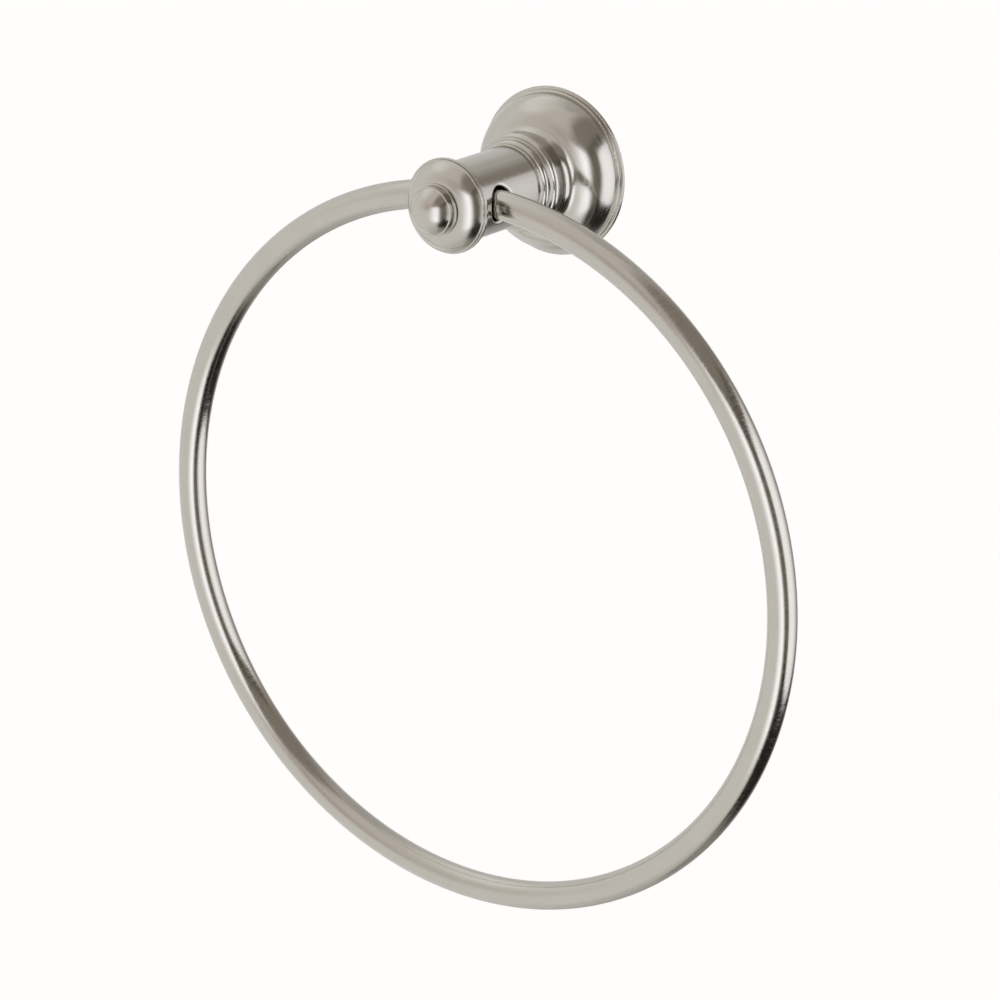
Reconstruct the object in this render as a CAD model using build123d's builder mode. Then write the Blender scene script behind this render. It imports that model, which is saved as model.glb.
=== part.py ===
"""Wall-mounted towel ring: a round bar bent to a closed ring swings in a turned post on a bell-shaped flange.

The origin is on the wall, at the middle of the flange. The wall is the plane Y = 0, the post points along -Y
and +Z is up. Turned pieces are drawn as half sections: first the radius, then the distance from the wall.
"""

import os
from math import asin, cos, radians, sin, sqrt

from build123d import *

# Ring
ring_radius = 100.0  # to the middle of the bar
bar_diameter = 8.0
bar_play = 0.25  # between the bent bar and the hole in the post, at the tightest points

# Post and the knob at its front end
wall_to_ring = 38.9
post_radius = 10.85
hole_rounding = 0.7
edge_break = 0.4
knob_offset = 9.3  # from the ring's plane to the back of the knob
knob_step = 2.05  # from the post out to the rim of the knob
knob_back_flat = 0.75
knob_lip_height = 0.875
knob_lip_step = 0.38
knob_lip_rounding = 0.2
knob_dome_height = 3.6
knob_edge_lean = 28.5  # degrees, of the dome where it meets the lips
button_lip_radius = 7.05
button_lip_height = 0.95
button_radius = 6.65
button_height = 2.05
button_edge_rounding = 0.25
button_crown_radius = 6.2
button_crown_height = 3.75

# Flange
rim_radius = 23.45
rim_lip_height = 0.82
rim_lip_step = 0.8
rim_rounding = 0.3
dome_height = 9.18
dome_wall = 2.4
neck_radius = 12.95
neck_waist = 0.15  # how much wider the neck is at the collars
neck_length = 6.21
neck_root_rounding = 2.6
collar_lip_step = 0.55
collar_lip_height = 1.38
collar_bead_step = 0.8
collar_bead_height = 1.2
lip_rounding = 0.18
socket_depth = 5.2
socket_gap = 0.05
web_thickness = 4.0

# Screw that draws the post into the flange
screw_radius = 3.0
screw_hole_radius = 3.3
screw_gap = 0.05  # stands for the thread's clearance
screw_head_radius = 5.25
screw_head_height = 3.3
screw_key_width = 4.0
screw_key_depth = 2.0
washer_radius = 5.9
washer_thickness = 1.6
washer_slit = 1.0
head_room = 0.7  # round the washer
tap_wall = 4.0  # solid metal between the tapped hole and the ring's hole
tap_runout = 2.0

# Wall plate and the set screw that holds the flange on it
plate_lip = 0.8  # in front of the groove
plate_gap = 1.85  # from the rim of the plate to the inside of the flange
groove_depth = 1.4
wall_screw_spacing = 22.0
wall_screw_radius = 2.5
wall_screw_sink_radius = 4.6
set_screw_radius = 1.5
set_screw_tip_radius = 0.4
set_screw_edge = 0.15  # from the stepped rim to the screw's hole
set_screw_sink = 0.5  # below the flange's surface
set_screw_key_width = 1.5
set_screw_key_depth = 1.3
seat_gap = 0.1

# Places along the post, as distances from the wall
rim_height = 2 * rim_lip_height
set_screw_height = rim_height + set_screw_edge + screw_gap + set_screw_radius
plate_thickness = set_screw_height + groove_depth + plate_lip
dome_top = rim_height + dome_height
collar_back = dome_top + neck_length
collar_height = collar_bead_height + collar_lip_height
flange_front = collar_back + 2 * collar_height
post_back = flange_front - socket_depth
web_back = post_back - web_thickness
hollow_top = dome_top - dome_wall
knob_back = wall_to_ring + knob_offset

# Radii that follow from the driving ones
bar_sag = ring_radius - sqrt(ring_radius**2 - post_radius**2)  # of the bent bar, within the post
hole_radius = bar_diameter / 2 + bar_sag / 2 + bar_play
knob_radius = post_radius + knob_step
knob_root_rounding = knob_step - knob_lip_rounding - knob_back_flat
dome_radius = rim_radius - 2 * rim_lip_step
hollow_radius = dome_radius - dome_wall
lip_radii = [post_radius + collar_lip_step, post_radius + 2 * collar_lip_step + collar_bead_step]
bead_radii = [radius + collar_bead_step for radius in lip_radii]
head_room_radius = washer_radius + head_room
plate_radius = hollow_radius - plate_gap

# Half sections: radius to the right, distance from the wall upwards
section = Plane(origin=(0, 0, 0), x_dir=(1, 0, 0), z_dir=(0, 0, -1))


def rings_at(part, radius, distance):
    """The round edges of a turned piece with this radius at this distance from the wall."""
    return part.edges().filter_by(
        lambda edge: edge.geom_type == GeomType.CIRCLE
        and abs(edge.radius - radius) < 1e-4
        and abs(edge.arc_center.Y + distance) < 1e-4
    )


# Flange: stepped rim, quarter-round dome, waisted neck and two beaded collars in one turning
with BuildPart() as flange:
    with BuildSketch(section):
        with BuildLine():
            rim = Polyline(
                (hollow_radius, rim_height),
                (hollow_radius, 0),
                (rim_radius, 0),
                (rim_radius, rim_lip_height),
                (rim_radius - rim_lip_step, rim_lip_height),
                (rim_radius - rim_lip_step, rim_height),
                (dome_radius, rim_height),
            )
            dome = TangentArc(rim @ 1, (neck_radius, dome_top), tangent=(0, 1))
            neck = TangentArc(dome @ 1, (neck_radius + neck_waist, collar_back), tangent=(0, 1))
            step = Line(neck @ 1, (bead_radii[1], collar_back))
            bead = TangentArc(step @ 1, (lip_radii[1], collar_back + collar_bead_height), tangent=(0, 1))
            lip = Polyline(
                bead @ 1,
                (lip_radii[1], collar_back + collar_height),
                (bead_radii[0], collar_back + collar_height),
            )
            front_bead = TangentArc(lip @ 1, (lip_radii[0], flange_front - collar_lip_height), tangent=(0, 1))
            hollow = Polyline(
                front_bead @ 1,
                (lip_radii[0], flange_front),
                (post_radius + socket_gap, flange_front),
                (post_radius + socket_gap, post_back),
                (screw_hole_radius, post_back),
                (screw_hole_radius, web_back),
                (head_room_radius, web_back),
                (head_room_radius, hollow_top),
                (hollow_radius - (hollow_top - rim_height), hollow_top),
            )
            TangentArc(rim @ 0, hollow @ 1, tangent=(0, 1))
        make_face()
    revolve(axis=Axis.Y)
    fillet(rings_at(flange, neck_radius, dome_top), neck_root_rounding)
    fillet(rings_at(flange, rim_radius, rim_lip_height), rim_rounding)
    fillet(rings_at(flange, rim_radius - rim_lip_step, rim_height), rim_rounding)
    fillet(rings_at(flange, lip_radii[1], collar_back + collar_height), lip_rounding)
    fillet(rings_at(flange, lip_radii[0], flange_front), lip_rounding)
    with BuildSketch(Plane.XY.offset(-rim_radius)):
        with Locations((0, -set_screw_height)):
            Circle(set_screw_radius + screw_gap)
    extrude(amount=rim_radius - plate_radius, mode=Mode.SUBTRACT)

# Post and knob in one turning, cross-drilled for the ring and tapped from behind
with BuildPart() as post:
    knob_rim = knob_back + knob_lip_height
    knob_shoulder = knob_back + 2 * knob_lip_height
    shoulder_radius = knob_radius - 2 * knob_lip_step
    lean = radians(knob_edge_lean)
    button_back = knob_shoulder + knob_dome_height
    button_front = button_back + button_lip_height + button_height
    with BuildSketch(section):
        with BuildLine():
            shaft = Polyline(
                (0, post_back),
                (post_radius, post_back),
                (post_radius, knob_back),
                (knob_radius, knob_back),
                (knob_radius, knob_rim),
                (knob_radius - knob_lip_step, knob_rim),
                (knob_radius - knob_lip_step, knob_shoulder),
                (shoulder_radius, knob_shoulder),
            )
            crown = TangentArc(shaft @ 1, (button_lip_radius, button_back), tangent=(-sin(lean), cos(lean)))
            button = Polyline(
                crown @ 1,
                (button_lip_radius, button_back + button_lip_height),
                (button_radius, button_back + button_lip_height),
                (button_radius, button_front),
                (button_crown_radius, button_front),
            )
            tip = TangentArc((0, button_front + button_crown_height), button @ 1, tangent=(1, 0))
            Line(tip @ 0, shaft @ 0)
        make_face()
    revolve(axis=Axis.Y)
    fillet(rings_at(post, post_radius, knob_back), knob_root_rounding)
    fillet(rings_at(post, knob_radius, knob_back), knob_lip_rounding)
    fillet(rings_at(post, knob_radius, knob_rim), knob_lip_rounding)
    fillet(rings_at(post, knob_radius - knob_lip_step, knob_shoulder), knob_lip_rounding)
    fillet(rings_at(post, button_lip_radius, button_back + button_lip_height), lip_rounding)
    fillet(rings_at(post, button_radius, button_front), button_edge_rounding)
    chamfer(rings_at(post, post_radius, post_back), edge_break)
    before = post.edges()
    with BuildSketch(Plane.YZ):
        with Locations((-wall_to_ring, 0)):
            Circle(hole_radius)
    extrude(amount=2 * post_radius, both=True, mode=Mode.SUBTRACT)
    fillet(post.edges() - before, hole_rounding)
    tap_depth = wall_to_ring - hole_radius - tap_wall - post_back
    with BuildSketch(section):
        with BuildLine():
            Polyline(
                (0, post_back),
                (screw_radius, post_back),
                (screw_radius, post_back + tap_depth),
                (0, post_back + tap_depth + screw_radius / 2),
                close=True,
            )
        make_face()
    revolve(axis=Axis.Y, mode=Mode.SUBTRACT)

# Ring: one round bar bent to a full circle and closed
with BuildPart() as ring:
    ring_middle = Vector(0, -wall_to_ring, bar_sag / 2 - ring_radius)
    with BuildSketch(Plane(origin=ring_middle, x_dir=(1, 0, 0), z_dir=(0, 0, 1))):
        with Locations((ring_radius, 0)):
            Circle(bar_diameter / 2)
    revolve(axis=Axis(ring_middle, (0, 1, 0)))

# Wall plate: a disc with a V groove round its rim and two countersunk holes
with BuildPart() as wall_plate:
    groove_bottom = plate_radius - groove_depth
    with BuildSketch(section):
        with BuildLine():
            Polyline(
                (0, 0),
                (plate_radius, 0),
                (plate_radius, set_screw_height - groove_depth),
                (groove_bottom, set_screw_height),
                (plate_radius, set_screw_height + groove_depth),
                (plate_radius, plate_thickness),
                (0, plate_thickness),
                close=True,
            )
        make_face()
    revolve(axis=Axis.Y)
    with Locations(Plane(origin=(0, -plate_thickness, 0), x_dir=(1, 0, 0), z_dir=(0, -1, 0))):
        with GridLocations(wall_screw_spacing, 0, 2, 1):
            CounterSinkHole(wall_screw_radius, wall_screw_sink_radius)

# Set screw: headless, with a cone point in the plate's groove and a key socket at its outer end
with BuildPart() as set_screw:
    tip_height = groove_bottom + seat_gap * sqrt(2) + set_screw_tip_radius
    cone_height = tip_height + set_screw_radius - set_screw_tip_radius
    dome_sweep_radius = (dome_height**2 + (dome_radius - neck_radius) ** 2) / (2 * (dome_radius - neck_radius))
    dome_middle = dome_radius - dome_sweep_radius
    dome_lean = asin((set_screw_height + set_screw_radius - rim_height) / dome_sweep_radius)
    outer_height = dome_middle + dome_sweep_radius * cos(dome_lean) - set_screw_sink
    with BuildSketch(Plane(origin=(0, -set_screw_height, 0), x_dir=(1, 0, 0), z_dir=(0, 1, 0))):
        with BuildLine():
            Polyline(
                (0, tip_height),
                (set_screw_tip_radius, tip_height),
                (set_screw_radius, cone_height),
                (set_screw_radius, outer_height),
                (0, outer_height),
                close=True,
            )
        make_face()
    revolve(axis=Axis((0, -set_screw_height, 0), (0, 0, 1)))
    with BuildSketch(Plane(origin=(0, -set_screw_height, -outer_height), z_dir=(0, 0, 1))):
        RegularPolygon(set_screw_key_width / 2, 6, major_radius=False)
    extrude(amount=set_screw_key_depth, mode=Mode.SUBTRACT)

# Split washer under the head of the post's screw
with BuildPart() as split_washer:
    washer_back = web_back - washer_thickness
    with BuildSketch(Plane.XZ.offset(washer_back)):
        Circle(washer_radius)
        Circle(screw_hole_radius, mode=Mode.SUBTRACT)
        with Locations((0, washer_radius)):
            Rectangle(washer_slit, 2 * (washer_radius - screw_hole_radius) + screw_hole_radius, mode=Mode.SUBTRACT)
    extrude(amount=washer_thickness)

# Button-head screw from behind the flange into the post
with BuildPart() as post_screw:
    head_back = washer_back - screw_head_height
    screw_end = post_back + tap_depth - tap_runout
    with BuildSketch(section):
        with BuildLine():
            shank = Polyline(
                (0, head_back),
                (screw_key_width, head_back),
            )
            head = TangentArc((screw_head_radius, washer_back), shank @ 1, tangent=(0, -1))
            Polyline(
                head @ 0,
                (screw_radius - screw_gap, washer_back),
                (screw_radius - screw_gap, screw_end),
                (0, screw_end),
                shank @ 0,
            )
        make_face()
    revolve(axis=Axis.Y)
    chamfer(rings_at(post_screw, screw_radius - screw_gap, screw_end), edge_break)
    with BuildSketch(Plane.XZ.offset(head_back)):
        RegularPolygon(screw_key_width / 2, 6, major_radius=False)
    extrude(amount=screw_key_depth, mode=Mode.SUBTRACT)

pieces = {
    "flange": flange,
    "post": post,
    "ring": ring,
    "wall_plate": wall_plate,
    "set_screw": set_screw,
    "split_washer": split_washer,
    "post_screw": post_screw,
}
os.makedirs("parts", exist_ok=True)
for name, piece in pieces.items():
    piece.part.label = name
    export_step(piece.part, f"parts/{name}.step")
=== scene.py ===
"""Dresses the towel ring in brushed nickel, zinc and steel, and sets it in a white studio."""

from math import cos, pi, radians, sin

import bpy
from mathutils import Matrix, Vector


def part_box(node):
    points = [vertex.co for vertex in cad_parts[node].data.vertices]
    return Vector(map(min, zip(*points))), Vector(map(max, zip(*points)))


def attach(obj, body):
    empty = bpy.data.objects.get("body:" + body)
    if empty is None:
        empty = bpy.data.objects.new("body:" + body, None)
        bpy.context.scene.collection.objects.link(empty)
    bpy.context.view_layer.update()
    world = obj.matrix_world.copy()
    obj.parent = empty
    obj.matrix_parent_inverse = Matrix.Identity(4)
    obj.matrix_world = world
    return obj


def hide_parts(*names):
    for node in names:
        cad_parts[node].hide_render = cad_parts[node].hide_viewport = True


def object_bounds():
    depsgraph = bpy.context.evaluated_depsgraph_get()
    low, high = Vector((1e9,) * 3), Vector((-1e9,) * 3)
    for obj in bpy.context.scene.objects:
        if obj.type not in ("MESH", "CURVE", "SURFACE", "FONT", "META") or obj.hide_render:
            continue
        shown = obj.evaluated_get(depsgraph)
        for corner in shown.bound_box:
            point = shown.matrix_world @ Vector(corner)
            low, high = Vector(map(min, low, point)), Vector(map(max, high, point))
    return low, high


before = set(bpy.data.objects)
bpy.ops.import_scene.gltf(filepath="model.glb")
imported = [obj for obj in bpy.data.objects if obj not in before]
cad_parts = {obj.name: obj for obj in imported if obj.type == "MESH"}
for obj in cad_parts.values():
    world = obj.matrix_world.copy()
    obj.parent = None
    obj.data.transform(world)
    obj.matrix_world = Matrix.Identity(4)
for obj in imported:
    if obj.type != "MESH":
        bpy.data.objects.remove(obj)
cad_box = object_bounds()
scene = bpy.context.scene

# Place and size of the ring, in metres
ring_low, ring_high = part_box("ring")
ring_middle = (ring_low[2] + ring_high[2]) / 2
ring_depth = (ring_low[1] + ring_high[1]) / 2
bar_radius = (ring_high[1] - ring_low[1]) / 2
ring_radius = (ring_high[0] - ring_low[0]) / 2 - bar_radius


# Short ways to add and join shader nodes
def join(tree, value, socket):
    """Links a socket to another one, or sets it to a plain value."""
    if isinstance(value, bpy.types.NodeSocket):
        tree.links.new(value, socket)
    else:
        socket.default_value = value


def add(tree, kind, **inputs):
    """A new node with these inputs, named with an underscore for each blank."""
    made = tree.nodes.new("ShaderNode" + kind)
    for name, value in inputs.items():
        join(tree, value, made.inputs[name.replace("_", " ")])
    return made


def calc(tree, operation, *values):
    """The result of one math node."""
    made = tree.nodes.new("ShaderNodeMath")
    made.operation = operation
    for socket, value in zip(made.inputs, values):
        join(tree, value, socket)
    return made.outputs[0]


def product(tree, first, second):
    """Two values multiplied."""
    return calc(tree, "MULTIPLY", first, second)


def distance(tree, first, second):
    """How far a point with these two coordinates is from their zero."""
    return calc(tree, "SQRT", calc(tree, "ADD", product(tree, first, first), product(tree, second, second)))


def ramp(tree, value, start, end, low=0.0, high=1.0):
    """A smooth step from low at start to high at end."""
    made = add(tree, "MapRange", Value=value, From_Min=start, From_Max=end, To_Min=low, To_Max=high)
    made.interpolation_type = "SMOOTHSTEP"
    return made.outputs["Result"]


def tint(tree, amount, first, second):
    """A colour between two, by an amount from 0 to 1."""
    made = tree.nodes.new("ShaderNodeMix")
    made.data_type = "RGBA"
    join(tree, amount, made.inputs[0])
    join(tree, first, made.inputs[6])
    join(tree, second, made.inputs[7])
    return made.outputs[2]


def grey(level):
    """An opaque neutral colour."""
    return (level, level, level, 1)


# Studio light: white all round, with patches over it, where a later one covers an earlier one.
# Each patch has the bearing that its card faces, its bearings, its heights and its colour against white.
# It fades in from the first angle to the second, and out from the third to the fourth, in degrees.
# Bearing 0 is straight ahead of the wall and 90 is to the right. Heights are measured above the level,
# or, for a card that faces a bearing, at the card's middle.
left_end = (-200, -190)
right_end = (190, 200)
bottom = (-110, -100)
top = (100, 110)
all_round = (*left_end, *right_end)
patches = [
    # Ceiling, floor and left side
    (None, all_round, (52, 83, *top), (0.89, 0.855, 0.845)),
    (None, all_round, (*bottom, -82, -48), (0.78, 0.775, 0.77)),
    (None, (*left_end, -110, -60), (-30, -5, 33, 42), (0.9, 0.9, 0.9)),
    (None, (*left_end, -144, -99), (-42, -32, *top), (0.78, 0.78, 0.78)),
    (None, (*left_end, -140, -100), (*bottom, -57, -35), (0.65, 0.65, 0.65)),
    # Slow change from light to dark behind the wall
    (None, (*left_end, -180, -150), (*bottom, *top), (0.52, 0.51, 0.5)),
    (None, (*left_end, -180, -150), (-10, 25, *top), (0.64, 0.625, 0.61)),
    (None, (*left_end, -160, -122), (-66, -50, -36, -12), (0.48, 0.475, 0.47)),
    # Warm upper side, with a light card on its left and dim places ahead and behind
    (None, (-75, -30, *right_end), (-12, 21, *top), (0.86, 0.81, 0.785)),
    (None, (-154, -129, -64, -28), (33, 42, 45, 76), (1.12, 1.12, 1.12)),
    (None, (140, 165, *right_end), (30, 45, *top), (0.61, 0.59, 0.57)),
    (None, (-36, -2, 10, 40), (0, 16, 22, 46), (0.66, 0.605, 0.58)),
    (None, (145, 171, *right_end), (*bottom, 28, 46), (0.3, 0.29, 0.28)),
    # Dark cards on the right: one wide, one on the floor, one between the boxes and one above them
    (90, (-4, 33, 154, 182), (-60, -40, 69, 83), (0.35, 0.312, 0.278)),
    (None, (5, 90, 130, 180), (*bottom, -62, -46), (0.41, 0.4, 0.385)),
    (60, (42, 55, 76, 90), (-50, -40, 25, 40), (0.23, 0.208, 0.176)),
    (105, (44, 62, 120, 142), (28, 33, 42, 46), (0.16, 0.14, 0.12)),
    # Black edges below the boxes
    (None, (26, 53, 70, 90), (-77, -64, -46, -38), (0.03, 0.03, 0.028)),
    (110, (52, 72, 156, 182), (-77, -64, -38, -32), (0.03, 0.03, 0.028)),
    # Front box and side box
    (28, (-8, 31, 33, 56), (-48, -38, 19, 28), (1.92, 1.95, 2.12)),
    (113, (74, 91, 114, 180), (-39.5, -34.5, 27, 32), (1.64, 1.65, 1.78)),
]


def past(tree, value, span):
    """How far a value is past the inner limits of a span, as a part of the way to its outer ones."""
    fade_in = span[1] - span[0]
    fade_out = span[3] - span[2]
    before = calc(tree, "MULTIPLY_ADD", value, -1 / fade_in, span[1] / fade_in)
    after = calc(tree, "MULTIPLY_ADD", value, 1 / fade_out, -span[2] / fade_out)
    return calc(tree, "MAXIMUM", calc(tree, "MAXIMUM", before, after), 0.0)


def light_studio():
    """The patches as the world's light, with plain white for the camera itself."""
    world = bpy.data.worlds.new("studio")
    scene.world = world
    world.use_nodes = True
    tree = world.node_tree
    tree.nodes.clear()
    way = add(tree, "SeparateXYZ", Vector=tree.nodes.new("ShaderNodeTexCoord").outputs["Generated"])
    x, y, z = way.outputs["X"], way.outputs["Y"], way.outputs["Z"]
    bearing = calc(tree, "DEGREES", calc(tree, "ARCTAN2", x, product(tree, y, -1)))
    plain_height = calc(tree, "DEGREES", calc(tree, "ARCSINE", z))
    colour = grey(1.0)
    for facing, bearings, heights, shade in patches:
        height = plain_height
        if facing is not None:
            sideways = product(tree, x, sin(radians(facing)))
            ahead = calc(tree, "ADD", sideways, product(tree, y, -cos(radians(facing))))
            height = calc(tree, "DEGREES", calc(tree, "ARCTAN2", z, ahead))
        outside = distance(tree, past(tree, bearing, bearings), past(tree, height, heights))
        colour = tint(tree, ramp(tree, outside, 1.0, 0.0), colour, (*shade, 1))
    path = tree.nodes.new("ShaderNodeLightPath")
    seen = tint(tree, path.outputs["Is Camera Ray"], colour, grey(1.0))
    background = add(tree, "Background", Color=seen, Strength=1.0)
    output = tree.nodes.new("ShaderNodeOutputWorld")
    tree.links.new(background.outputs[0], output.inputs["Surface"])


# Floor
floor_drop = 0.35  # metres below the ring
floor_reach = 12  # metres to each side
floor_grey = 0.9
floor_glow = 0.35  # for the camera alone


def lay_floor():
    """A wide white floor well below the ring."""
    level = cad_box[0][2] - floor_drop
    corners = [(-1, -1), (1, -1), (1, 1), (-1, 1)]
    mesh = bpy.data.meshes.new("floor")
    mesh.from_pydata([(x * floor_reach, y * floor_reach, level) for x, y in corners], [], [(0, 1, 2, 3)])
    floor = bpy.data.objects.new("floor", mesh)
    scene.collection.objects.link(floor)
    floor.visible_glossy = False
    material = bpy.data.materials.new("floor_white")
    material.use_nodes = True
    tree = material.node_tree
    tree.nodes.clear()
    matt = add(tree, "BsdfDiffuse", Color=grey(floor_grey))
    path = tree.nodes.new("ShaderNodeLightPath")
    strength = product(tree, path.outputs["Is Camera Ray"], floor_glow)
    glow = add(tree, "Emission", Color=grey(1.0), Strength=strength)
    both = tree.nodes.new("ShaderNodeAddShader")
    tree.links.new(matt.outputs[0], both.inputs[0])
    tree.links.new(glow.outputs[0], both.inputs[1])
    output = tree.nodes.new("ShaderNodeOutputMaterial")
    tree.links.new(both.outputs[0], output.inputs["Surface"])
    mesh.materials.append(material)


# Brush marks, given by how fast they change across the brushing and along it
def turned_marks(tree, fine, long):
    """Marks round the post's axis: fine across the turning, long around it."""
    place = add(tree, "SeparateXYZ", Vector=tree.nodes.new("ShaderNodeTexCoord").outputs["Object"])
    x, y, z = place.outputs["X"], place.outputs["Y"], place.outputs["Z"]
    radius = distance(tree, x, z)
    safe = calc(tree, "MAXIMUM", radius, 1e-6)
    spot = add(
        tree,
        "CombineXYZ",
        X=product(tree, radius, fine),
        Y=product(tree, y, fine),
        Z=product(tree, calc(tree, "DIVIDE", x, safe), long),
    )
    around = product(tree, calc(tree, "DIVIDE", z, safe), long)
    return spot.outputs[0], around


def bar_marks(tree, fine, long):
    """Marks across the ring's bar: fine along the bar, long around its section."""
    place = add(tree, "SeparateXYZ", Vector=tree.nodes.new("ShaderNodeTexCoord").outputs["Object"])
    x, y = place.outputs["X"], place.outputs["Y"]
    z = calc(tree, "SUBTRACT", place.outputs["Z"], ring_middle)
    radius = distance(tree, x, z)
    along = ring_radius * fine
    spot = add(
        tree,
        "CombineXYZ",
        X=product(tree, calc(tree, "DIVIDE", x, radius), along),
        Y=product(tree, calc(tree, "DIVIDE", z, radius), along),
        Z=product(tree, y, long),
    )
    return spot.outputs[0], product(tree, radius, long)


# Tone of the metals
tone_change = 0.03  # lighter and darker than the plain colour
mark_share = 0.6  # of the marks in the tone, the rest is cloudy
clouds = 90.0  # per metre


def metal(name, marks, fine, long, colour, dull, spread, relief):
    """Brushed metal: marks in relief, gloss and tone, over slow cloudy variation."""
    material = bpy.data.materials.new(name)
    material.use_nodes = True
    tree = material.node_tree
    shader = tree.nodes["Principled BSDF"]
    shader.inputs["Metallic"].default_value = 1.0
    spot, extra = marks(tree, fine, long)
    brush = add(tree, "TexNoise", Vector=spot, Scale=1.0, Detail=3.0, Roughness=0.6)
    brush.noise_dimensions = "4D"
    join(tree, extra, brush.inputs["W"])
    mark = brush.outputs[0]
    place = tree.nodes.new("ShaderNodeTexCoord").outputs["Object"]
    cloud = add(tree, "TexNoise", Vector=place, Scale=clouds, Detail=2.0, Roughness=0.5)
    cloudy = product(tree, cloud.outputs[0], 1 - mark_share)
    mixed = calc(tree, "ADD", product(tree, mark, mark_share), cloudy)
    pale = (*(channel * (1 + tone_change) for channel in colour), 1)
    deep = (*(channel * (1 - tone_change) for channel in colour), 1)
    join(tree, tint(tree, ramp(tree, mixed, 0.3, 0.7), deep, pale), shader.inputs["Base Color"])
    join(tree, ramp(tree, mark, 0.35, 0.65, dull - spread, dull + spread), shader.inputs["Roughness"])
    bump = add(tree, "Bump", Height=mark, Strength=1.0, Distance=relief)
    join(tree, bump.outputs[0], shader.inputs["Normal"])
    return material


nickel = (0.5, 0.479, 0.428)
zinc_grey = (0.42, 0.42, 0.42)
steel_grey = (0.5, 0.5, 0.49)
flange_nickel = metal("flange_nickel", turned_marks, 2500, 3.0, nickel, dull=0.19, spread=0.05, relief=1e-6)
post_nickel = metal("post_nickel", turned_marks, 2500, 3.0, nickel, dull=0.19, spread=0.05, relief=1e-6)
ring_nickel = metal("ring_nickel", bar_marks, 1700, 500.0, nickel, dull=0.17, spread=0.06, relief=1.2e-5)
zinc = metal("cast_zinc", turned_marks, 1200, 3.0, zinc_grey, dull=0.42, spread=0.06, relief=1e-5)
steel = metal("screw_steel", turned_marks, 3000, 3.0, steel_grey, dull=0.25, spread=0.04, relief=3e-6)

# Ring
ring_steps = 512  # around the ring
bar_sides = 48  # around its bar
inside_share = 0.9925  # of the bar's radius, which keeps the finer mesh inside the solid


def round_ring():
    """The ring with a finer mesh than the solid's, a hair inside it."""
    section = bar_radius * inside_share
    points = []
    faces = []
    for step in range(ring_steps):
        turn = 2 * pi * step / ring_steps
        this = step * bar_sides
        ahead = (step + 1) % ring_steps * bar_sides
        for side in range(bar_sides):
            lean = 2 * pi * side / bar_sides
            reach = ring_radius + section * cos(lean)
            depth = ring_depth + section * sin(lean)
            points.append((reach * sin(turn), depth, ring_middle + reach * cos(turn)))
            beside = (side + 1) % bar_sides
            faces.append((this + side, ahead + side, ahead + beside, this + beside))
    mesh = bpy.data.meshes.new("ring_bar")
    mesh.from_pydata(points, [], faces)
    for face in mesh.polygons:
        face.use_smooth = True
    mesh.materials.append(ring_nickel)
    piece = bpy.data.objects.new("ring_bar", mesh)
    scene.collection.objects.link(piece)
    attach(piece, "ring")
    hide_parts("ring")


round_ring()

# Finishes of the other pieces
finishes = {
    "flange": flange_nickel,
    "post": post_nickel,
    "wall_plate": zinc,
    "set_screw": steel,
    "split_washer": steel,
    "post_screw": steel,
}
for name, finish in finishes.items():
    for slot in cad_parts[name].material_slots:
        slot.material = finish

light_studio()
lay_floor()

# Camera at the photograph's angle, in metres, with the lens in millimetres
camera_turn = radians(35.768)
camera_tilt = radians(18.98)
camera_distance = 0.9557
camera_lens = 126.731
sensor_width = 36.0
aim = Vector((0.00992, -0.0389, -0.08262))
level_way = cos(camera_tilt)
way = Vector((sin(camera_turn) * level_way, -cos(camera_turn) * level_way, sin(camera_tilt)))
camera = bpy.data.objects.new("camera", bpy.data.cameras.new("camera"))
scene.collection.objects.link(camera)
camera.location = aim + camera_distance * way
camera.rotation_euler = (aim - camera.location).to_track_quat("-Z", "Y").to_euler()
camera.data.sensor_width = sensor_width
camera.data.lens = camera_lens
camera.data.clip_start = 0.05
camera.data.clip_end = 100.0
scene.camera = camera
scene.view_settings.view_transform = "Standard"
